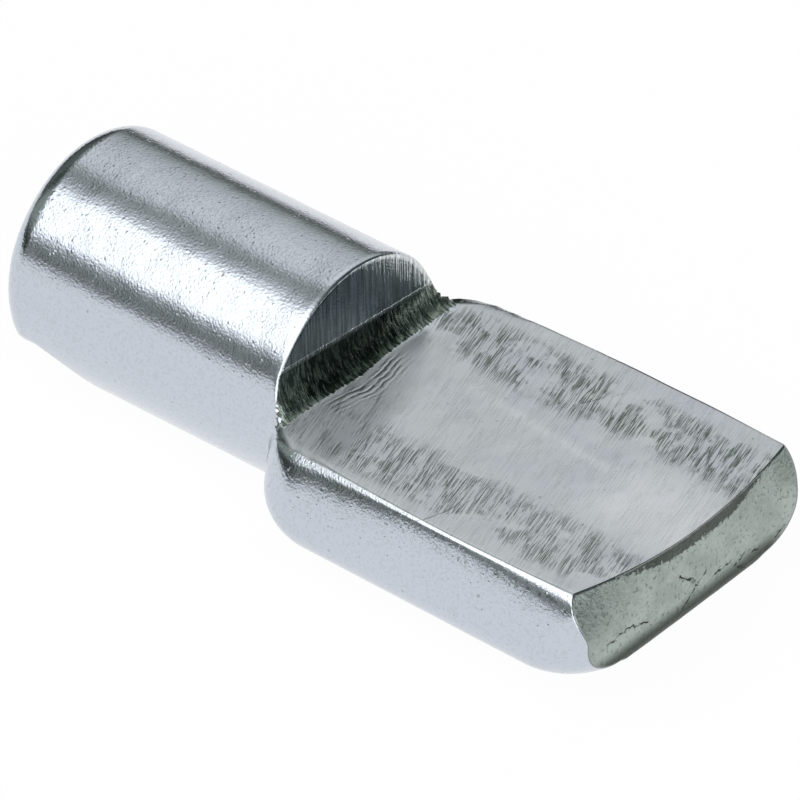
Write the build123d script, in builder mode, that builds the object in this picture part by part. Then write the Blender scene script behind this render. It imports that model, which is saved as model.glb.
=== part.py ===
from build123d import *
from math import cos, radians, sin, tan
import os

os.makedirs("parts", exist_ok=True)

# Driving dimensions, millimetres. X runs along the peg towards the blade, Z is up, and
# the origin is on the peg's axis, level with the shoulders that meet the cabinet's side.

# Peg: the round end that goes into the drilled hole, and the root behind it, which
# the press swelled a little
peg_diameter = 5.0
peg_length = 6.25
peg_end_radius = 0.55
root_swell = 0.6

# Shear mark: the shallow flat that cutting the bar left under the peg's near side
shear_depth = 0.2
shear_length = 0.77
shear_ramp = 1.0
shear_angle = 44.4

# Step: the wall where the round bar drops to the pressed blade
wall_x = 0.75
wall_base_radius = 0.8

# Blade: the flat that carries the shelf. Its sides lean out towards a rounded foot, and
# it is a little wider at the tip than at the shoulders
blade_length = 9.21
blade_top_width = 6.4
blade_top = 0.33
blade_bottom = -1.82
blade_flare = 0.07
side_lean = 17.4
blade_foot_radius = 0.85
rim_radius = 0.14
rim_steps = 3

# Shoulders and tip corners, at the blade's underside and at the shoulders' crest: how
# far along the shoulder starts, the run and rise of its rounding, and the tip corner
crest_height = 0.95
foot_shoulder, foot_run, foot_rise, foot_corner = 0.63, 1.6, 1.9, 1.9
crest_shoulder, crest_run, crest_rise, crest_corner = 0.65, 1.15, 1.3, 0.3

# Tip: the cut end bulges in the middle of its top edge, where the shear started, and
# is straight lower down
tip_overrun = 0.35
near_corner_setback = 0.55
far_corner_setback = 0.38
tip_straight_depth = 0.93
tip_easing = 1.5
tip_crown = 0.04
tip_steps = 6

# Underside: the short ramp from the peg's belly up to the blade's
under_start = 0.3
under_run = 1.0

peg_radius = peg_diameter / 2
base_x = wall_x + wall_base_radius
core_reach = base_x + blade_foot_radius / 2
blank_end = blade_length + tip_overrun
side_slope = tan(radians(side_lean))
side_reach = blade_top_width / 2 + (blade_top - blade_bottom) * side_slope + blade_flare
skin_height = crest_height - blade_bottom

# The heights at which the blade's outline is drawn, each with how far the rounded rim has
# drawn it in: the underside, the rim's quarter round and the shoulders' crest
levels = [(blade_bottom, 0)]
for step in range(rim_steps + 1):
    turn = radians(90 * step / rim_steps)
    levels.append((blade_top - rim_radius * (1 - sin(turn)), rim_radius * (1 - cos(turn))))
levels.append((crest_height, 0))

# How far the blanks and cutters run past the faces they make
clear = 1.0

# Blade blank: a skin drawn straight from outline to outline, with a rounded foot
with BuildPart() as blade:
    for height, inset in levels:
        share = (height - blade_bottom) / skin_height
        half_width = blade_top_width / 2 + (blade_top - height) * side_slope - inset
        shoulder = foot_shoulder + share * (crest_shoulder - foot_shoulder) + inset
        run = foot_run + share * (crest_run - foot_run)
        rise = foot_rise + share * (crest_rise - foot_rise)
        corner = foot_corner + share * (crest_corner - foot_corner)
        inner = half_width - rise
        end_y = half_width + blade_flare
        with BuildSketch(Plane.XY.offset(height)):
            with BuildLine():
                Line((shoulder, inner), (shoulder, -inner))
                EllipticalCenterArc((shoulder + run, -inner), run, rise, 180, arc_size=90)
                Line((shoulder + run, -half_width), (blank_end - corner, -end_y))
                CenterArc((blank_end - corner, corner - end_y), corner, 270, 90)
                Line((blank_end, corner - end_y), (blank_end, end_y - corner))
                CenterArc((blank_end - corner, end_y - corner), corner, 0, 90)
                Line((blank_end - corner, end_y), (shoulder + run, half_width))
                EllipticalCenterArc((shoulder + run, inner), run, rise, 90, arc_size=90)
            make_face()
    loft(ruled=True)
    fillet(blade.edges().group_by(Axis.Z)[0], blade_foot_radius)

# Tip cutter: everything beyond an end surface that straightens with depth
with BuildPart() as tip_cutter:
    layer = (blade_top - blade_bottom) / tip_steps
    for step in range(-2, tip_steps + 2):
        depth = step * layer
        share = (max(tip_straight_depth - depth, 0) / tip_straight_depth) ** tip_easing
        near_x = blade_length - tip_crown - share * near_corner_setback
        far_x = blade_length - tip_crown - share * far_corner_setback
        beyond = blank_end + clear
        with BuildSketch(Plane.XY.offset(blade_top - depth)):
            with BuildLine():
                ThreePointArc((near_x, -side_reach), (blade_length, 0), (far_x, side_reach))
                Polyline((far_x, side_reach), (beyond, side_reach), (beyond, -side_reach),
                         (near_x, -side_reach))
            make_face()
    loft()

with BuildPart() as pin:
    # Peg: round bar with a rounded end
    with BuildSketch(Plane.YZ.offset(-peg_length)):
        Circle(peg_radius)
    extrude(amount=peg_length)
    fillet(pin.edges().group_by(Axis.X)[0], peg_end_radius)

    # Root: the bar widens very slightly as it runs on into the blade
    with BuildSketch(Plane.YZ):
        Circle(peg_radius)
    extrude(amount=core_reach, taper=-root_swell)

    # Shear mark, with a ramp back to the full diameter
    with BuildSketch(Plane.XZ.rotated((-shear_angle, 0, 0))):
        with BuildLine():
            flat = shear_depth - peg_radius
            mark_end = shear_length - peg_length
            Polyline((-peg_length - clear, flat), (mark_end, flat),
                     (mark_end + shear_ramp, -peg_radius),
                     (mark_end + shear_ramp, -peg_radius - clear),
                     (-peg_length - clear, -peg_radius - clear), (-peg_length - clear, flat))
        make_face()
    extrude(amount=peg_radius, both=True, mode=Mode.SUBTRACT)

    add(blade.part)

    # Step: the punch leaves a wall, a round at its base and the flat top of the blade
    with BuildSketch(Plane.XZ):
        with BuildLine():
            sky = peg_radius + clear
            base_z = blade_top + wall_base_radius
            Line((wall_x, sky), (wall_x, base_z))
            RadiusArc((wall_x, base_z), (base_x, blade_top), -wall_base_radius)
            Polyline((base_x, blade_top), (blank_end + clear, blade_top),
                     (blank_end + clear, sky), (wall_x, sky))
        make_face()
    extrude(amount=side_reach + clear, both=True, mode=Mode.SUBTRACT)

    # Underside: the bar's belly is pressed up to the blade's own underside
    with BuildSketch(Plane.XZ):
        with BuildLine():
            Polyline((under_start, -peg_radius), (under_start + under_run, blade_bottom),
                     (core_reach + clear, blade_bottom), (core_reach + clear, -peg_radius - clear),
                     (under_start, -peg_radius - clear), (under_start, -peg_radius))
        make_face()
    extrude(amount=side_reach + clear, both=True, mode=Mode.SUBTRACT)

    # Tip: sheared off
    add(tip_cutter.part, mode=Mode.SUBTRACT)

pin.part.label = "shelf_pin"
export_step(pin.part, "parts/shelf_pin.step")
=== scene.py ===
from math import cos, pi, radians, sin, tan

import bmesh
import bpy
import numpy as np
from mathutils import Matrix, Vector


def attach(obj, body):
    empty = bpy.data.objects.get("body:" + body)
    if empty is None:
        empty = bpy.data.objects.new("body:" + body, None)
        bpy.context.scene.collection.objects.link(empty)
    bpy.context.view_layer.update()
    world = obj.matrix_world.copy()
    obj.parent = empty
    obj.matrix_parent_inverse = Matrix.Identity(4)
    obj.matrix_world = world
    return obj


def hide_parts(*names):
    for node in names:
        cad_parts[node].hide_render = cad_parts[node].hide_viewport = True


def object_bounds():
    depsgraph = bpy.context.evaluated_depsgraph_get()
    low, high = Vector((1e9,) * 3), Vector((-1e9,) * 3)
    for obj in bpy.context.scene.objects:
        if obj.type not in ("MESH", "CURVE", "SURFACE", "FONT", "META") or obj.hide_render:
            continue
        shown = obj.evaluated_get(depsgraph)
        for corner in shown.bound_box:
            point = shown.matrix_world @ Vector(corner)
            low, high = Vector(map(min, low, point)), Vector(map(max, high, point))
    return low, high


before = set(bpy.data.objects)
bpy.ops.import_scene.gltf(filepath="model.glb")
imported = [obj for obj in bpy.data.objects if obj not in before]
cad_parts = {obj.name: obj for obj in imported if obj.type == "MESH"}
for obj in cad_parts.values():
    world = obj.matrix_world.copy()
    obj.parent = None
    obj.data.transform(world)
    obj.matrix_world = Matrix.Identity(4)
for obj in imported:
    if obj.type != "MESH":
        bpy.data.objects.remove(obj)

cad_low, cad_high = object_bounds()

# Shelf pin: one piece of round steel bar, pressed flat at one end in a cold die, sheared
# off at the tip and zinc plated. Its skin is drawn here in millimetres by finding where
# rays from a line inside the pin leave the steel.
mm = 0.001

# Round bar: its rounded end, the slight swelling of its root, and the mark that cutting
# it to length left
peg_radius, peg_length, peg_end_round = 2.5, 6.25, 0.55
root_slope = tan(radians(0.6))
shear_depth, shear_length, shear_ramp, shear_angle = 0.2, 0.77, 1.0, radians(44.4)
shear_ramp_end = 1.5

# Step: the wall and the round at its base, which is higher at the near side
wall_x, wall_base_rise, wall_base_run, wall_rim_round = 0.75, 0.76, 0.45, 0.1
base_tilt = 0.09

# Blade: its flat top, its leaning sides with their rounded foot, and its two top rims, of
# which the near one is the sharper
blade_length, blade_half_width, blade_flare = 9.2, 3.1435, 0.07
blade_top, blade_bottom, crest_height = 0.33, -1.82, 0.95
side_lean = radians(17.4)
foot_round = 1.1
near_rim, near_bow, far_rim, far_bow = 3.1, 0.013, 3.26, 0.008
rim_middle, rim_depth, belly_depth, rim_edge = 6, 0.05, 0.3, 0.025
near_sharpness = 0.25

# Shoulders and tip corners, at the blade's underside and at the shoulders' crest
foot_shoulder, foot_run, foot_rise, foot_corner = 0.63, 1.6, 1.9, 1.9
crest_shoulder, crest_run, crest_rise, crest_corner = 0.65, 1.15, 1.3, 0.3
foot_bend, bend_gain = 2, 0.6
shoulder_blend = 0.12
burr_round = 0.05

# Tip: sheared along a bulging line, straight lower down and rolled under at its foot
blank_end = 9.56
tip_crown, near_setback, far_setback, tip_straight_depth = 0.04, 0.86, 0.54, 0.93
tip_easing = 1.5
tip_half_width = 3.9
tip_roll, roll_limit = 0.4, 0.98

# Underside: the ramp from the bar's belly up to the blade's
under_start, under_run, under_round = 0.3, 1.0, 0.15


def outer_round(a, b, radius):
    """What lies inside both, with the corner where they meet rounded off."""
    inside = np.minimum(np.maximum(a, b), -radius)
    return inside + np.hypot(np.maximum(a + radius, 0), np.maximum(b + radius, 0))


def inner_round(a, b, radius):
    """What lies inside either, with the corner where they meet filled by a round."""
    outside = np.maximum(np.minimum(a, b), radius)
    return outside - np.hypot(np.maximum(radius - a, 0), np.maximum(radius - b, 0))


def ease(value, low, high):
    """A soft step from 0 at low to 1 at high."""
    share = np.clip((value - low) / (high - low), 0, 1)
    return share * share * (3 - 2 * share)


def step_cut(x, y, z):
    """Positive above the blade's face and ahead of the wall, which meet in a round."""
    rise = wall_base_rise - base_tilt * y
    return inner_round((x - wall_x) * rise / wall_base_run, z - blade_top, rise)


def steel(x, y, z):
    """Negative inside the pin, positive outside it, before the tip is sheared off."""
    side = np.abs(y)
    step = step_cut(x, y, z)

    peg = np.hypot(y, z) - peg_radius - np.maximum(x, 0) * root_slope
    peg = outer_round(peg, -peg_length - x, peg_end_round)
    mark = np.clip((x + peg_length - shear_length) / shear_ramp, 0, shear_ramp_end)
    facing = y * sin(shear_angle) + z * cos(shear_angle)
    peg = outer_round(peg, shear_depth * (1 - mark) - peg_radius - facing, burr_round)
    peg = outer_round(peg, step, wall_rim_round)

    share = np.clip((z - blade_bottom) / (crest_height - blade_bottom), 0, 1)
    shoulder = foot_shoulder + share * (crest_shoulder - foot_shoulder)
    run = foot_run + share * (crest_run - foot_run)
    rise = foot_rise + share * (crest_rise - foot_rise)
    corner = foot_corner + share * (crest_corner - foot_corner)
    flare = np.clip((x - shoulder - run) / (blank_end - corner - shoulder - run), 0, 1)
    down = np.maximum(blade_top - z, 0)
    half_width = blade_half_width + (blade_top - z) * tan(side_lean) + flare * blade_flare
    near_width = near_rim - near_bow * (x - rim_middle) ** 2
    far_width = far_rim - far_bow * (x - rim_middle) ** 2
    drawn_in = blade_half_width + flare * blade_flare - np.where(y < 0, near_width, far_width)
    sharp = np.where(y < 0, near_sharpness, 0)
    fade = sharp * np.exp(-down / rim_depth) + (1 - sharp) * np.exp(-down / belly_depth)
    half_width = half_width - drawn_in * fade
    along = np.maximum(shoulder + run - x, 0) / run
    across = np.maximum(side - half_width + rise, 0) / rise
    size = (along * run + (across + 0.001) * rise) / (along + across + 0.001)
    bend = foot_bend + bend_gain * share
    plan = ((along ** bend + across ** bend) ** (1 / bend) - 1) * size
    along = np.maximum(x - blank_end + corner, 0) / corner
    across = np.maximum(side - half_width + corner, 0) / corner
    plan = np.maximum(plan, (np.hypot(along, across) - 1) * corner) * cos(side_lean)
    blade = outer_round(plan, blade_bottom - z, foot_round)
    blade = outer_round(blade, z - crest_height, burr_round)

    body = inner_round(peg, blade, shoulder_blend)
    ramp = -peg_radius + (x - under_start) * (peg_radius + blade_bottom) / under_run
    body = outer_round(body, np.minimum(ramp, blade_bottom) - z, under_round)
    return outer_round(body, step, rim_edge)


def tip_x(y, z):
    """How far along the sheared end lies at a place on it."""
    depth = np.clip(blade_top - z, 0, tip_straight_depth)
    share = (1 - depth / tip_straight_depth) ** tip_easing
    setback = np.where(y < 0, near_setback, far_setback)
    bow = (tip_crown + share * setback) * (y / tip_half_width) ** 2
    low = np.clip(blade_bottom + tip_roll - z, 0, tip_roll * roll_limit)
    return blade_length - bow - tip_roll + np.sqrt(tip_roll ** 2 - low ** 2)


# The rays fan out from the inner line. Round the step they lean forward at the top, to
# meet its wall, and back at the sides, to meet the shoulders. Each is halved down to the
# place where it leaves the steel.
side_lean_back, top_lean_forward = -0.4, 1.4
blade_middle = -0.75
shortest_ray, longest_ray, halvings = 0.05, 6.0, 34


def skin_point(start, angle):
    lean = ease(start, -5.5, -2.5) * (1 - ease(start, 2.5, 5.5))
    lean = lean * (side_lean_back + top_lean_forward * ease(np.sin(angle), 0, 0.5))
    middle = blade_middle * ease(start, -1.5, 1.0)
    pull = ease(start, 7.0, blade_length)
    low = np.full(np.broadcast(start, angle).shape, shortest_ray)
    high = np.full_like(low, longest_ray)
    for _ in range(halvings):
        reach = (low + high) / 2
        y = reach * np.cos(angle)
        z = middle + reach * np.sin(angle)
        x = start + lean * reach + pull * (tip_x(y, z) - blade_length)
        out = steel(x, y, z) > 0
        high = np.where(out, reach, high)
        low = np.where(out, low, reach)
    return np.stack([x, y, z], axis=-1)


# Columns: evenly spaced round the blade between its four corners, which are also the
# corners of the grids that close the two ends
across_count, down_count = 110, 36
section_x = 6.0
corner_turns = [radians(degrees) for degrees in (-12, 19.4, 160.6, 192, 348)]
turn = np.linspace(corner_turns[0], corner_turns[-1], 6001)
section = skin_point(np.full_like(turn, section_x), turn)
walked = np.concatenate([[0], np.cumsum(np.linalg.norm(np.diff(section, axis=0), axis=1))])
stops = np.interp(corner_turns, turn, walked)
columns = []
for first, last, count in zip(stops, stops[1:], [down_count, across_count] * 2):
    columns.append(np.interp(np.linspace(first, last, count, endpoint=False), walked, turn))
columns = np.concatenate(columns)

# Rows: spaced so that no gap between two of them is wider than the next
row_count = 310
edge = 0.02
peg_edge = 0.05
fine = np.linspace(-peg_length + 1e-4, blade_length - edge, 3001)[:, None]
guide = skin_point(fine, np.radians([[0.0, 90.0, 125.0, 180.0, 270.0]]))
stride = np.linalg.norm(np.diff(guide, axis=0), axis=2).max(axis=1)
walked = np.concatenate([[0], np.cumsum(stride)])
rows = np.interp(np.linspace(0, walked[-1], row_count), walked, fine[:, 0])
rows = np.append(rows, blade_length - edge / 3)
tube = skin_point(rows[:, None], columns[None, :])
row_count, column_count = tube.shape[:2]

points = [tube.reshape(-1, 3)]
faces = []


def join_rings(first, second):
    """Faces between two rings of points, named by where each ring starts."""
    for column in range(column_count):
        beside = (column + 1) % column_count
        faces.append((first + column, first + beside, second + beside, second + column))


def four_sides(ring):
    """The closed ring cut at its four corners: far side, top, near side and bottom."""
    ring = np.concatenate([ring, ring[:1]])
    half = down_count + across_count
    far_side = ring[:down_count + 1]
    top = ring[down_count:half + 1]
    near_side = ring[half:half + down_count + 1][::-1]
    bottom = ring[half + down_count:][::-1]
    return far_side, top, near_side, bottom


def end_grid(ring):
    """A grid drawn across a closed ring, with the ring's own points as its border."""
    far_side, top, near_side, bottom = four_sides(ring)
    u = np.linspace(0, 1, across_count + 1)[:, None, None]
    v = np.linspace(0, 1, down_count + 1)[None, :, None]
    grid = (1 - v) * bottom[:, None] + v * top[:, None]
    grid = grid + (1 - u) * far_side[None] + u * near_side[None]
    flat = (1 - u) * (1 - v) * bottom[0] + u * (1 - v) * bottom[-1]
    return grid - flat - (1 - u) * v * top[0] - u * v * top[-1]


def point_total():
    return sum(len(block) for block in points)


def close_end(ring, ring_start, insets, lift):
    """Rings drawn in from the pin's last one, then a grid across the innermost."""
    middle = np.array([0, (ring[:, 2].max() + ring[:, 2].min()) / 2])
    half = np.array([ring[:, 1].max(), (ring[:, 2].max() - ring[:, 2].min()) / 2])
    for inset in insets:
        flat = middle + (ring[:, 1:] - middle) * (1 - inset / half)
        start = point_total()
        points.append(np.column_stack([lift(flat[:, 0], flat[:, 1]), flat]))
        join_rings(ring_start, start)
        ring_start = start
    grid = end_grid(points[-1][:, 1:])
    start = point_total()
    inside = grid[1:-1, 1:-1].reshape(-1, 2)
    points.append(np.column_stack([lift(inside[:, 0], inside[:, 1]), inside]))
    names = np.empty((across_count + 1, down_count + 1), dtype=int)
    names[1:-1, 1:-1] = np.arange(start, start + len(inside)).reshape(across_count - 1, -1)
    border = ring_start + np.arange(column_count)
    names[0, :], names[:, -1], names[-1, :], names[:, 0] = four_sides(border)
    for i in range(across_count):
        for j in range(down_count):
            faces.append((names[i, j], names[i + 1, j], names[i + 1, j + 1], names[i, j + 1]))


for row in range(row_count - 1):
    join_rings(row * column_count, (row + 1) * column_count)
close_end(tube[-1], (row_count - 1) * column_count, [edge, 3 * edge], tip_x)
end_start = row_count * column_count
end_stop = point_total()
close_end(tube[0], 0, [peg_edge], lambda y, z: np.full_like(y, -peg_length))
places = np.vstack(points)

# Zones, each from 0 to 1 over the skin: the sheared end and its rim, the blade's face, the
# step's wall and the round at its base, which reaches a little farther in the middle
x, y, z = places.T
in_end = np.zeros(len(places))
in_end[end_start + column_count:end_stop] = 1
on_rim = np.zeros(len(places))
on_rim[end_start:end_start + column_count] = 1
on_step = 1 - ease(-step_cut(x, y, z), 0.02, 0.05)
base_top = blade_top + wall_base_rise - base_tilt * y
base_end = 1.16 + 0.07 * np.exp(-((y + 0.3) / 0.7) ** 2)
on_top = on_step * ease(x, 1.0, 1.2)
on_wall = on_step * ease(z - base_top, -0.1, 0.0)
on_base = on_step * (1 - ease(z - base_top, -0.08, 0.03))
on_base = on_base * (1 - ease(x - base_end, -0.14, 0.04))

pin_mesh = bpy.data.meshes.new("pin_skin")
pin_mesh.from_pydata((places * mm).tolist(), [], [tuple(map(int, face)) for face in faces])
shaping = bmesh.new()
shaping.from_mesh(pin_mesh)
bmesh.ops.recalc_face_normals(shaping, faces=shaping.faces)
shaping.to_mesh(pin_mesh)
shaping.free()
pin_mesh.shade_smooth()
outward = np.empty(len(places) * 3)
pin_mesh.vertices.foreach_get("normal", outward)
outward = outward.reshape(-1, 3)

# Slow waves in the pressed and plated surface, each a sum of plane ripples. The sheared end
# has deeper ones, and a low pale crease runs along the blade. All of it is sunk a little,
# so that the skin stays inside the solid.
chance = np.random.default_rng(7)


def ripples(spots, size, count=24):
    total = np.zeros(len(spots))
    for _ in range(count):
        heading = chance.normal(size=3)
        heading *= 2 * pi / (size * chance.uniform(0.7, 1.5) * np.linalg.norm(heading))
        total += np.cos(spots @ heading + chance.uniform(0, 2 * pi))
    return total / np.sqrt(count / 2)


crease_x, crease_half, crease_y, crease_slant, crease_start = 4.8, 1.8, 0.79, 0.1, 3.0
crease_height, sunk = 0.003, 0.004
relief = 0.0015 * ripples(places, 1.3) * (1 - in_end) + 0.0006 * ripples(places, 0.45)
inner_end = in_end * ease(z, -1.4, -1.0) * (1 - ease(np.abs(y), 2.6, 3.0))
relief += inner_end * (0.004 * ripples(places, 0.5) + 0.002 * ripples(places, 0.2))
past_crease = np.maximum(np.abs(x - crease_x) - crease_half, 0)
crease = np.hypot(past_crease, y - crease_y + crease_slant * (x - crease_start))
pale_crease = on_top * np.exp(-(crease / 0.13) ** 2)
relief += crease_height * on_top * np.exp(-(crease / 0.16) ** 2)
relief -= sunk
shaped = (places + outward * relief[:, None]) * mm
pin_mesh.vertices.foreach_set("co", shaped.ravel())
pin_mesh.update()

# The zones go with the mesh as attributes. The last, flow, is how far a place lies ahead of
# the bulging line from which the folded steel spread.
flow_line = 1.17 + 0.2 * np.exp(-((y + 0.4) / 0.8) ** 2)
zones = {"cut_end": in_end, "cut_rim": on_rim, "blade_face": on_top, "step_wall": on_wall,
         "step_base": on_base, "pale_crease": pale_crease, "flow": x - flow_line}
for name, values in zones.items():
    zone = pin_mesh.attributes.new(name, "FLOAT", "POINT")
    zone.data.foreach_set("value", values.astype(np.float32))
pin = bpy.data.objects.new("pin_skin", pin_mesh)
bpy.context.scene.collection.objects.link(pin)
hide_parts("shelf_pin")
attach(pin, "root")


def add_node(tree, kind, feeds, **settings):
    """One node with its settings, its sockets fed with values or with other sockets."""
    node = tree.nodes.new(kind)
    for name, value in settings.items():
        setattr(node, name, value)
    for name, value in feeds.items():
        if isinstance(value, bpy.types.NodeSocket):
            tree.links.new(value, node.inputs[name])
        else:
            node.inputs[name].default_value = value
    return node


def math_node(tree, operation, a, b=0.0):
    return add_node(tree, "ShaderNodeMath", {0: a, 1: b}, operation=operation).outputs[0]


def vector_node(tree, operation, feeds):
    """Vector maths: a place or a heading, or a plain number for a length or a product."""
    node = add_node(tree, "ShaderNodeVectorMath", feeds, operation=operation)
    plain = operation in ("DOT_PRODUCT", "LENGTH")
    return node.outputs["Value" if plain else "Vector"]


def window(tree, value, low, high):
    """A soft step from 0 at low to 1 at high."""
    feeds = {"Value": value, "From Min": low, "From Max": high}
    kind = "ShaderNodeMapRange"
    return add_node(tree, kind, feeds, interpolation_type="SMOOTHSTEP").outputs["Result"]


def open_group(name, vectors, numbers, masks):
    """A new group of nodes with its sockets, and its own input and output nodes."""
    group = bpy.data.node_groups.new(name, "ShaderNodeTree")
    for names, way, kind in ((vectors, "INPUT", "NodeSocketVector"),
                             (numbers, "INPUT", "NodeSocketFloat"),
                             (masks, "OUTPUT", "NodeSocketFloat")):
        for socket in names:
            group.interface.new_socket(socket, in_out=way, socket_type=kind)
    given = group.nodes.new("NodeGroupInput").outputs
    result = group.nodes.new("NodeGroupOutput").inputs
    return group, given, result


# Crack: how strongly a place lies on a straight crack between two ends
crack, given, result = open_group("crack", ["Place", "From", "To"], ["Width"], ["Mask"])
run_on = vector_node(crack, "SUBTRACT", {0: given["To"], 1: given["From"]})
from_start = vector_node(crack, "SUBTRACT", {0: given["Place"], 1: given["From"]})
reach = vector_node(crack, "DOT_PRODUCT", {0: from_start, 1: run_on})
length = vector_node(crack, "DOT_PRODUCT", {0: run_on, 1: run_on})
share = add_node(crack, "ShaderNodeMath", {0: reach, 1: length},
                 operation="DIVIDE", use_clamp=True).outputs[0]
nearest = vector_node(crack, "SCALE", {0: run_on, "Scale": share})
offset = vector_node(crack, "SUBTRACT", {0: from_start, 1: nearest})
distance = vector_node(crack, "LENGTH", {0: offset})
crack.links.new(window(crack, distance, given["Width"], 0.0), result["Mask"])

# Streaks: noise drawn out along one way, as it is, cut down to its ridges, and cut down to
# the thin threads where it crosses its middle
thread_width = 0.035
streaks, given, result = open_group("streaks", ["Place", "Stretch"], ["Detail", "Low", "High"],
                                    ["Value", "Ridges", "Threads"])
drawn = vector_node(streaks, "MULTIPLY", {0: given["Place"], 1: given["Stretch"]})
noise = add_node(streaks, "ShaderNodeTexNoise",
                 {"Vector": drawn, "Scale": 1.0, "Detail": given["Detail"],
                  "Roughness": 0.6}).outputs["Fac"]
ridges = window(streaks, noise, given["Low"], given["High"])
streaks.links.new(noise, result["Value"])
streaks.links.new(ridges, result["Ridges"])
off_middle = math_node(streaks, "ABSOLUTE", math_node(streaks, "SUBTRACT", noise, 0.5))
streaks.links.new(window(streaks, off_middle, thread_width, 0.0), result["Threads"])

# Zinc plate: bright and pebbled on the bar, scratched across the blade, ribbed and darkened
# by painted shade in the step, and dull grey where the tip was sheared. Its places are in
# millimetres.
zinc = bpy.data.materials.new("zinc_plate")
zinc.use_nodes = True
tree = zinc.node_tree
tree.nodes.clear()
object_place = add_node(tree, "ShaderNodeTexCoord", {}).outputs["Object"]
place = vector_node(tree, "SCALE", {0: object_place, "Scale": 1 / mm})
parts = add_node(tree, "ShaderNodeSeparateXYZ", {"Vector": place}).outputs
zone = {}
for name in zones:
    zone[name] = add_node(tree, "ShaderNodeAttribute", {}, attribute_name=name).outputs["Fac"]


def lines(stretch, detail, low=0.0, high=1.0, source=place):
    """Streaks so many to the millimetre each way: their value, ridges and threads."""
    group = add_node(tree, "ShaderNodeGroup", {}, node_tree=streaks)
    tree.links.new(source, group.inputs["Place"])
    group.inputs["Stretch"].default_value = stretch
    for name, value in (("Detail", detail), ("Low", low), ("High", high)):
        group.inputs[name].default_value = value
    return group.outputs


def span(axis, start, full):
    """A soft step along, across or up the pin, from 0 at start to 1 at full."""
    return window(tree, parts[axis], start, full)


def times(*factors):
    total = factors[0]
    for factor in factors[1:]:
        total = math_node(tree, "MULTIPLY", total, factor)
    return total


def plus(*terms):
    total = terms[0]
    for term in terms[1:]:
        total = math_node(tree, "ADD", total, term)
    return total


# Scratches across the blade: thick along both sides and by the step, faint in the middle
faint_scratches, scratch_slant = 0.14, 0.28
abs_y = math_node(tree, "ABSOLUTE", parts["Y"])
side_zone = times(window(tree, abs_y, 0.9, 1.7), window(tree, abs_y, 2.95, 2.45))
patches = lines((0.7, 1.0, 0.0), 3.0, 0.36, 0.52)["Ridges"]
step_zone = times(span("X", 3.0, 1.6), span("Y", 0.4, -0.9))
step_zone = times(step_zone, span("Y", -3.0, -2.6), 0.8)
scratched = math_node(tree, "MAXIMUM", times(side_zone, patches), step_zone)
scratched = math_node(tree, "MAXIMUM", scratched, faint_scratches)
scratched = times(zone["blade_face"], scratched)
slanted = plus(parts["X"], times(parts["Y"], scratch_slant))
slanted = add_node(tree, "ShaderNodeCombineXYZ", {"X": slanted, "Y": parts["Y"]})
slanted = slanted.outputs["Vector"]
broad_scratches = lines((24.0, 1.0, 0.0), 2.0, 0.53, 0.63, slanted)["Ridges"]
fine_threads = lines((14.0, 0.7, 0.0), 1.0, source=slanted)["Threads"]
long_threads = lines((8.0, 0.45, 0.0), 1.0, source=slanted)["Threads"]
broken = lines((2.6, 1.3, 0.0), 3.0, 0.40, 0.52, slanted)["Ridges"]
threads = math_node(tree, "MAXIMUM", fine_threads, long_threads)
scratch = times(scratched, plus(times(broad_scratches, 0.4), times(threads, broken, 0.75)))

# Fold lines that the steel left as it flowed away from the foot of the step
fold_spacing, fold_wobble = 0.12, 9.0
flow_wobble = lines((2.0, 2.0, 0.0), 2.0)["Value"]
flow_turn = plus(times(zone["flow"], 2 * pi / fold_spacing), times(flow_wobble, fold_wobble))
flow_wave = math_node(tree, "COSINE", flow_turn)
flow_zone = times(window(tree, zone["flow"], -0.06, 0.02),
                  window(tree, zone["flow"], 0.65, 0.15), span("Y", -1.8, -0.9),
                  span("Y", 0.9, 0.2))
flow_zone = times(flow_zone, plus(0.35, lines((2.5, 2.5, 0.0), 2.0, 0.4, 0.55)["Ridges"]))
fold = times(window(tree, flow_wave, -0.1, -0.85), flow_zone)
flow_wave = times(flow_wave, flow_zone, zone["blade_face"])

# Ribs in the round at the wall's base, and streaks up the wall
ribs = lines((3.5, 15.0, 3.5), 3.0, 0.44, 0.58)
base_mask = window(tree, plus(zone["step_base"], times(ribs["Value"], 0.9)), 0.75, 1.0)
base_middle = times(span("Y", -2.0, -0.9), span("Y", 1.6, 0.4))
wall_streaks = lines((0.0, 13.0, 0.6), 3.0, 0.35, 0.65)
streak = times(zone["step_wall"], wall_streaks["Ridges"])

# Cracks in the sheared end, each from one end to the other across and up the face. Only
# the places across and up count, and they wander a little so that the cracks are ragged.
crack_width, wander = 0.035, 0.2
face_only = (0, 1, 1)
ragged = add_node(tree, "ShaderNodeTexNoise", {"Vector": place, "Scale": 9.0, "Detail": 6.0})
ragged = vector_node(tree, "SUBTRACT", {0: ragged.outputs["Color"], 1: (0.5, 0.5, 0.5)})
ragged = vector_node(tree, "SCALE", {0: ragged, "Scale": wander})
face_place = vector_node(tree, "MULTIPLY", {0: place, 1: face_only})
face_place = vector_node(tree, "ADD", {0: face_place, 1: ragged})
face_place = vector_node(tree, "MULTIPLY", {0: face_place, 1: face_only})
crack_ends = [
    ((0.35, -0.87), (-0.17, -1.2)),
    ((-0.17, -1.2), (-0.45, -1.44)),
    ((-0.45, -0.53), (0.01, -0.92)),
    ((-1.40, -1.03), (-2.0, -0.86)),
    ((-2.0, -0.86), (-2.6, -0.9)),
    ((1.58, -1.11), (1.4, -1.21)),
    ((1.06, -1.06), (0.63, -1.1)),
    ((1.24, -1.24), (1.55, -1.51)),
    ((2.78, -1.17), (2.51, -1.33)),
    ((2.0, -1.28), (1.8, -1.24)),
]
cracked = None
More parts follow.
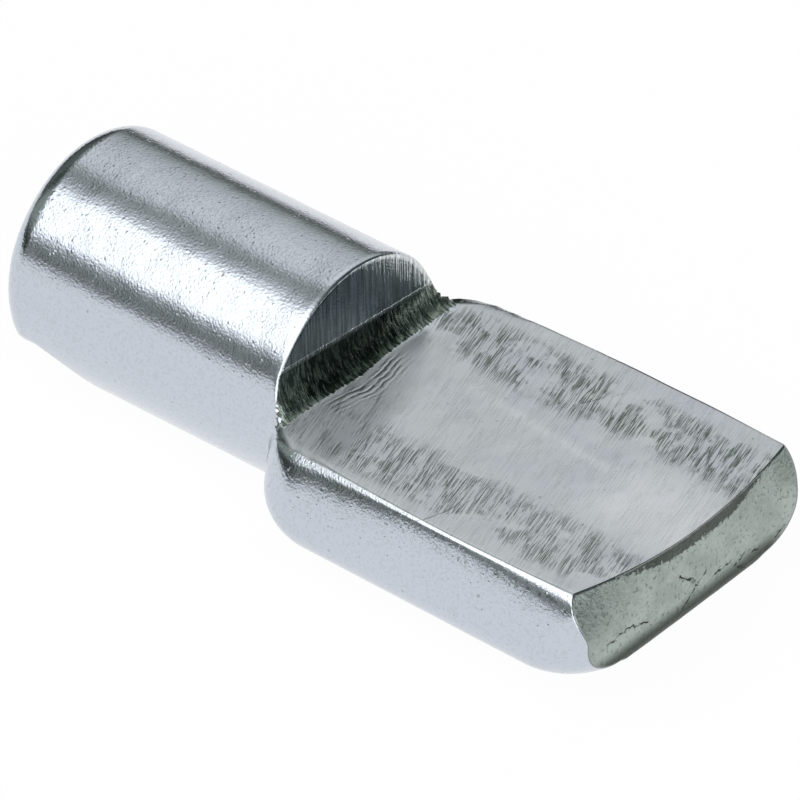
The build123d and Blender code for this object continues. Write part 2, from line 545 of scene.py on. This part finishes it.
for start, stop in crack_ends:
    group = add_node(tree, "ShaderNodeGroup", {}, node_tree=crack)
    tree.links.new(face_place, group.inputs["Place"])
    group.inputs["From"].default_value = (0, *start)
    group.inputs["To"].default_value = (0, *stop)
    group.inputs["Width"].default_value = crack_width
    mask = group.outputs["Mask"]
    cracked = mask if cracked is None else math_node(tree, "MAXIMUM", cracked, mask)
crack_fade = plus(0.35, lines((6.0, 6.0, 6.0), 3.0, 0.4, 0.52)["Ridges"])
cracked = times(cracked, zone["cut_end"], crack_fade)

# Torn band under the sheared end's top edge, deepest in the middle, and the end's grain
band_top, band_depth = 0.34, -0.36
torn_value = lines((0.0, 9.0, 10.0), 5.0)["Value"]
torn_depth = plus(band_top, times(span("Y", -2.7, -0.4), span("Y", 3.0, 0.8), band_depth))
torn = window(tree, math_node(tree, "SUBTRACT", parts["Z"], torn_depth), -0.12, 0.16)
torn = times(zone["cut_end"], window(tree, plus(torn_value, times(torn, 0.5)), 0.7, 0.86))
grain = lines((11.0, 11.0, 11.0), 5.0, 0.54, 0.66)
cut_stain = lines((1.6, 1.6, 1.6), 4.0, 0.4, 0.64)["Ridges"]
specks = lines((6.0, 6.0, 6.0), 2.0, 0.69, 0.75)["Ridges"]

# Colours of the plate, of its wear, of its dark marks, and of painted light and shade
bright_zinc = (0.56, 0.60, 0.665, 1)
worn_zinc = (0.60, 0.635, 0.65, 1)
pale_zinc_and_painted_light = (0.76, 0.79, 0.82, 1)
scratch_and_painted_shade = (0.17, 0.205, 0.18, 1)
step_shade = (0.40, 0.48, 0.41, 1)
base_painted_shade = (0.016, 0.026, 0.020, 1)
cut_shade = (0.42, 0.475, 0.45, 1)
crack_and_painted_shade = (0.02, 0.028, 0.022, 1)
rim_shade = (0.08, 0.09, 0.05, 1)


def tint(colour, over, share):
    feeds = {"Factor": share, 6: colour, 7: over}
    return add_node(tree, "ShaderNodeMix", feeds, data_type="RGBA").outputs[2]


# The blade is a little greyer than the bar, and pale by the wall, at the tip and along
# its crease
cloud = lines((0.35, 0.8, 0.0), 3.0, 0.3, 0.7)["Ridges"]
worn = times(zone["blade_face"], plus(0.25, times(cloud, 0.75)))
colour = tint(bright_zinc, worn_zinc, worn)
colour = tint(colour, scratch_and_painted_shade, times(scratched, 0.12))
tip_patch = times(span("X", 6.4, 7.6), window(tree, abs_y, 1.5, 0.3))
by_wall = times(zone["blade_face"], span("X", 2.9, 1.5), span("Y", 1.9, 0.3))
pale_share = plus(times(zone["pale_crease"], 0.35), times(tip_patch, zone["blade_face"], 0.6),
                  times(by_wall, 0.7))
colour = tint(colour, pale_zinc_and_painted_light, pale_share)
far_half = span("Y", -0.2, 0.6)
colour = tint(colour, scratch_and_painted_shade, times(scratch, plus(0.85, times(far_half, 0.5))))
colour = tint(colour, scratch_and_painted_shade, times(fold, zone["blade_face"], 0.95))

# The step: painted shade makes the middle of its base nearly black and darkens the gaps between
# its ribs;
# the base is pale where it meets the wall, and painted light and shade make the wall pale at
# its far side and dark at its near side
colour = tint(colour, step_shade, base_mask)
# Painted shade: the share of the base darkened to nearly black, most in its middle and between
# its ribs
base_shade_share = times(base_mask, plus(0.36, times(base_middle, 0.46), times(ribs["Ridges"], 0.5)))
colour = tint(colour, base_painted_shade, base_shade_share)
junction = times(zone["step_base"], zone["step_wall"], 2.2, plus(0.3, ribs["Ridges"]))
colour = tint(colour, pale_zinc_and_painted_light, junction)
# Painted light and shade on the wall: paler towards its far side and darker towards its near
# side, over its real streaks
colour = tint(colour, pale_zinc_and_painted_light, times(zone["step_wall"], span("Y", -0.6, 1.2)))
wall_near_painted_shade = times(zone["step_wall"], span("Y", 0.6, -1.2))
colour = tint(colour, scratch_and_painted_shade, plus(times(streak, 0.6), times(wall_near_painted_shade, 0.35)))

# The sheared end: stained and grainy, dark in its torn band, in its cracks and round its rim,
# and darkened with painted shade at its rolled-under foot
colour = tint(colour, cut_shade, zone["cut_end"])
colour = tint(colour, scratch_and_painted_shade, times(cut_stain, zone["cut_end"], 0.3))
colour = tint(colour, scratch_and_painted_shade, times(grain["Ridges"], zone["cut_end"], 0.75))
colour = tint(colour, crack_and_painted_shade, times(torn, 0.85))
# Painted shade: the foot of the sheared end, where it rolls under, darkened, less so at the far
# corner
end_foot_painted_shade = times(zone["cut_end"], span("Z", -1.05, -1.45))
colour = tint(colour, crack_and_painted_shade, times(end_foot_painted_shade, span("Y", 3.1, 2.2), 0.92))
colour = tint(colour, crack_and_painted_shade, cracked)
colour = tint(colour, rim_shade, times(zone["cut_rim"], 0.8))

# Specks all over, flakes everywhere but on the blade's face, and under the near rim a band
# of painted dark reflection, speckled by the grain
colour = tint(colour, scratch_and_painted_shade, times(specks, 0.5))
flakes = lines((15.0, 15.0, 15.0), 2.0, 0.5, 0.62)["Ridges"]
off_blade = plus(1, times(zone["blade_face"], -1))
colour = tint(colour, scratch_and_painted_shade, times(flakes, off_blade, 0.12))
# Painted dark reflection: a band just under the near rim, broken up by the grain's ridges
under_rim_painted_shade = times(span("Z", -0.16, 0.02), span("Z", 0.26, 0.14), span("Y", -2.85, -3.0),
                  span("X", 1.6, 2.4))
colour = tint(colour, scratch_and_painted_shade, times(under_rim_painted_shade, grain["Ridges"], 0.9))

# Height in millimetres: pebbles with a few tall ones, scratches, ribs, streaks, folds,
# grain and cracks. The blade's face was pressed smoother than the bar.
pebble_depth, dome_height, tall_height, face_smoothing = 0.0043, 0.0008, 0.0026, -0.75
scratch_depth, fold_height, rib_height, streak_height = -0.004, 0.004, 0.03, 0.02
grain_height, crack_depth = 0.02, -0.03
pebble_value = lines((18.0, 18.0, 18.0), 2.0)["Value"]
pebble_cells = add_node(tree, "ShaderNodeTexVoronoi", {"Vector": place, "Scale": 13.0})
pebble_domes = window(tree, pebble_cells.outputs["Distance"], 0.5, 0.0)
cell_pick = add_node(tree, "ShaderNodeSeparateXYZ", {"Vector": pebble_cells.outputs["Color"]})
tall = window(tree, cell_pick.outputs["X"], 0.88, 0.93)
dome = times(pebble_domes, plus(dome_height, times(tall, tall_height)))
pebble = plus(times(pebble_value, pebble_depth), dome)
pebble = times(pebble, plus(1, times(zone["blade_face"], face_smoothing)))
height = plus(pebble, times(scratch, scratch_depth), times(flow_wave, fold_height),
              times(base_mask, ribs["Value"], rib_height),
              times(zone["step_wall"], wall_streaks["Value"], streak_height),
              times(zone["cut_end"], grain["Value"], grain_height),
              times(cracked, crack_depth), times(torn, crack_depth))
bump = add_node(tree, "ShaderNodeBump", {"Strength": 1.0, "Distance": mm, "Height": height})
roughness = plus(0.14, times(zone["blade_face"], 0.08), times(zone["cut_end"], 0.32),
                 times(zone["step_base"], 0.12), times(by_wall, 0.3))
shader = add_node(tree, "ShaderNodeBsdfPrincipled",
                  {"Base Color": colour, "Metallic": 1.0, "Roughness": roughness,
                   "Normal": bump.outputs["Normal"]})
add_node(tree, "ShaderNodeOutputMaterial", {"Surface": shader.outputs["BSDF"]})
pin_mesh.materials.append(zinc)

# Floor: a plain sheet of white paper under the pin. It glows, so that it stays white and
# only a faint shadow shows.
floor_half = 1.0
floor_height = cad_low.z
shadow_share = 0.04
paper_colour = (0.95, 0.95, 0.95, 1)
white = (1, 1, 1, 1)
floor_mesh = bpy.data.meshes.new("floor")
corners = [(-floor_half, -floor_half), (floor_half, -floor_half), (floor_half, floor_half),
           (-floor_half, floor_half)]
floor_mesh.from_pydata([(x, y, floor_height) for x, y in corners], [], [(0, 1, 2, 3)])
floor = bpy.data.objects.new("floor", floor_mesh)
bpy.context.scene.collection.objects.link(floor)
paper = bpy.data.materials.new("white_paper")
paper.use_nodes = True
tree = paper.node_tree
tree.nodes.clear()
diffuse = add_node(tree, "ShaderNodeBsdfDiffuse", {"Color": paper_colour})
glow = add_node(tree, "ShaderNodeEmission", {"Color": white, "Strength": 1})
mix = add_node(tree, "ShaderNodeMixShader",
               {"Fac": 1 - shadow_share, 1: diffuse.outputs["BSDF"],
                2: glow.outputs["Emission"]})
add_node(tree, "ShaderNodeOutputMaterial", {"Surface": mix.outputs["Shader"]})
floor_mesh.materials.append(paper)

# Studio: a white room with one long softbox over the near side. Its dark gaps, seen
# round the pin's axis from the far side over the top, draw the bands on the metal. Each
# entry is an angle in degrees and how bright the room is there.
room_bands = [
    (-180, 1.0), (-118, 0.93), (-101, 0.8), (-77, 0.69), (-30, 0.6), (-14, 0.4),
    (-6, 0.16), (1, 0.10), (11, 0.13), (20, 0.5), (35, 0.76), (55, 0.95), (75, 0.98),
    (82, 0.4), (91, 0.42), (99, 0.78), (106, 1.1), (107, 2.2), (149, 2.2), (152, 0.9),
    (158, 0.33), (166, 0.28), (173, 0.22), (178, 0.8), (180, 1.0),
]
gloom_level, gloom_green = 0.6, 1.06
front_gloom = (0.10, 0.135, 0.145, 1)
end_gloom = (0.14, 0.16, 0.14, 1)
world = bpy.data.worlds.new("studio")
bpy.context.scene.world = world
world.use_nodes = True
tree = world.node_tree
tree.nodes.clear()
heading = add_node(tree, "ShaderNodeTexCoord", {}).outputs["Generated"]
heading = add_node(tree, "ShaderNodeSeparateXYZ", {"Vector": heading}).outputs
turned = math_node(tree, "ARCTAN2", heading["Z"], heading["Y"])
share = add_node(tree, "ShaderNodeMapRange",
                 {"Value": turned, "From Min": radians(-180), "From Max": radians(180)})
ramp = add_node(tree, "ShaderNodeValToRGB", {"Fac": share.outputs["Result"]})
brightest = max(level for angle, level in room_bands)
stops = ramp.color_ramp.elements
while len(stops) < len(room_bands):
    stops.new(0.5)
for stop, (angle, level) in zip(stops, room_bands):
    green = gloom_green if level < gloom_level else 1.0
    stop.position = (angle + 180) / 360
    stop.color = (level / brightest, level / brightest * green, level / brightest, 1)

# The room is gloomy ahead of the tip on the far side and past the peg's end, and a second
# white box stands ahead on the near side
ahead = times(window(tree, heading["X"], 0.0, 0.45), window(tree, heading["Y"], -0.3, 0.3))
gloom = tint(white, front_gloom, ahead)
past_end = window(tree, heading["X"], -0.53, -0.64)
gloom = tint(gloom, end_gloom, past_end)
room_colour = add_node(tree, "ShaderNodeMix",
                       {"Factor": 1.0, 6: ramp.outputs["Color"], 7: gloom},
                       data_type="RGBA", blend_type="MULTIPLY").outputs[2]
near_box = times(window(tree, heading["X"], 0.0, 0.2), window(tree, heading["Y"], -0.4, -0.7))
room_colour = tint(room_colour, white, near_box)
room = add_node(tree, "ShaderNodeBackground", {"Color": room_colour, "Strength": brightest})
backdrop = add_node(tree, "ShaderNodeBackground", {"Color": white, "Strength": 1.0})
path = add_node(tree, "ShaderNodeLightPath", {})
mix = add_node(tree, "ShaderNodeMixShader",
               {"Fac": path.outputs["Is Camera Ray"], 1: room.outputs["Background"],
                2: backdrop.outputs["Background"]})
add_node(tree, "ShaderNodeOutputWorld", {"Surface": mix.outputs["Shader"]})

# Camera: a long lens far off, looking down at the pin from its near side and from ahead of
# its tip. The frame's width and centre are measured at the pin, in metres.
frame_width = 0.015474
frame_centre = Vector((0.0014325, 0.0005570, -0.0006522))
towards_camera = Vector((0.5120, -0.6134, 0.6010)).normalized()
camera_data = bpy.data.cameras.new("camera")
camera_data.sensor_width = 36
camera_data.lens = 600
camera_data.clip_start = 0.01
camera_data.clip_end = 10
camera = bpy.data.objects.new("camera", camera_data)
bpy.context.scene.collection.objects.link(camera)
camera.location = (frame_centre
                   + towards_camera * frame_width * camera_data.lens / camera_data.sensor_width)
camera.rotation_euler = towards_camera.to_track_quat("Z", "Y").to_euler()
bpy.context.scene.camera = camera
bpy.context.scene.view_settings.view_transform = "Standard"
